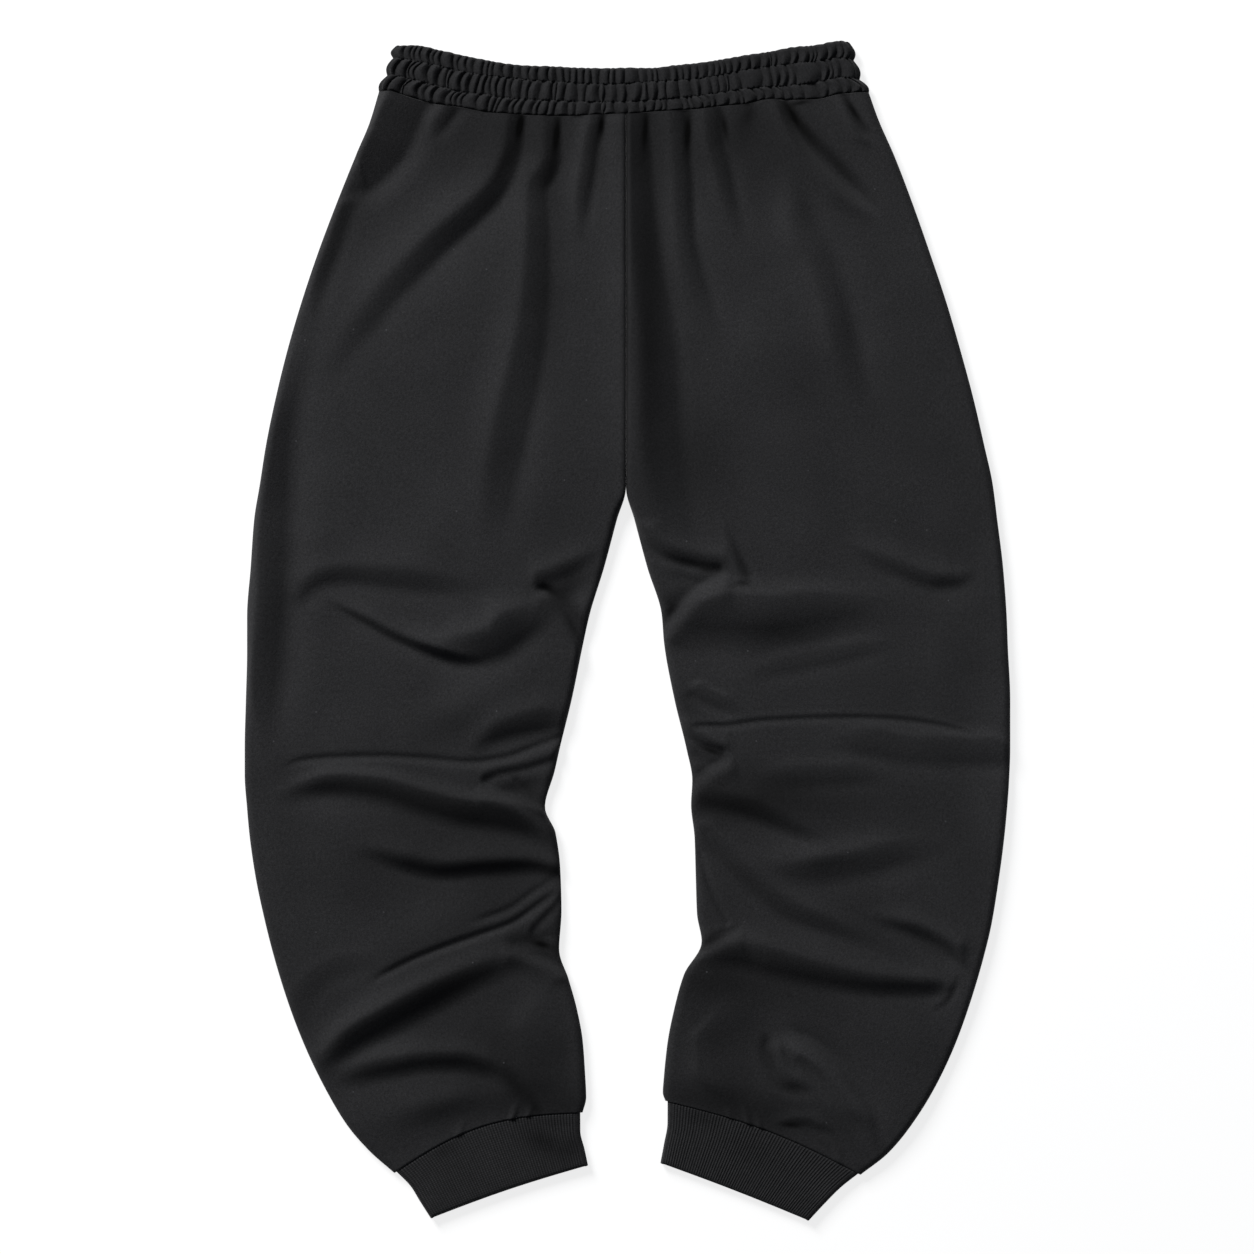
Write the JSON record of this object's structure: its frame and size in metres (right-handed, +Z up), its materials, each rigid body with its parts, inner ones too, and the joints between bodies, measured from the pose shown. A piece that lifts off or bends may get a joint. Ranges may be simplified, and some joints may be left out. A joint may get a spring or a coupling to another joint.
{
  "type": "jogger sweatpants",
  "caption": "Loose fleece jogger trousers laid flat, with a shirred elastic waistband, creased legs and ribbed ankle cuffs.",
  "frame": {"origin": "middle of the outline, on the flat surface that the trousers lie on", "axes": "+Y towards the waist, +X across the hips, +Z up off the surface, the way the pictured face looks"},
  "size_m": [0.65, 1.002, 0.0233],
  "materials": {
    "fleece": "matt brushed charcoal fleece with a fine heathered grain",
    "waistband_fleece": "matt charcoal fleece, shirred over elastic",
    "rib_knit": "matt charcoal rib knit"
  },
  "bodies": {
    "root": {"back_left": "fleece", "back_right": "fleece", "front_left": "fleece", "front_right": "fleece", "waistband": "waistband_fleece", "cuff_left": "rib_knit", "cuff_right": "rib_knit"}
  },
  "joints": []
}
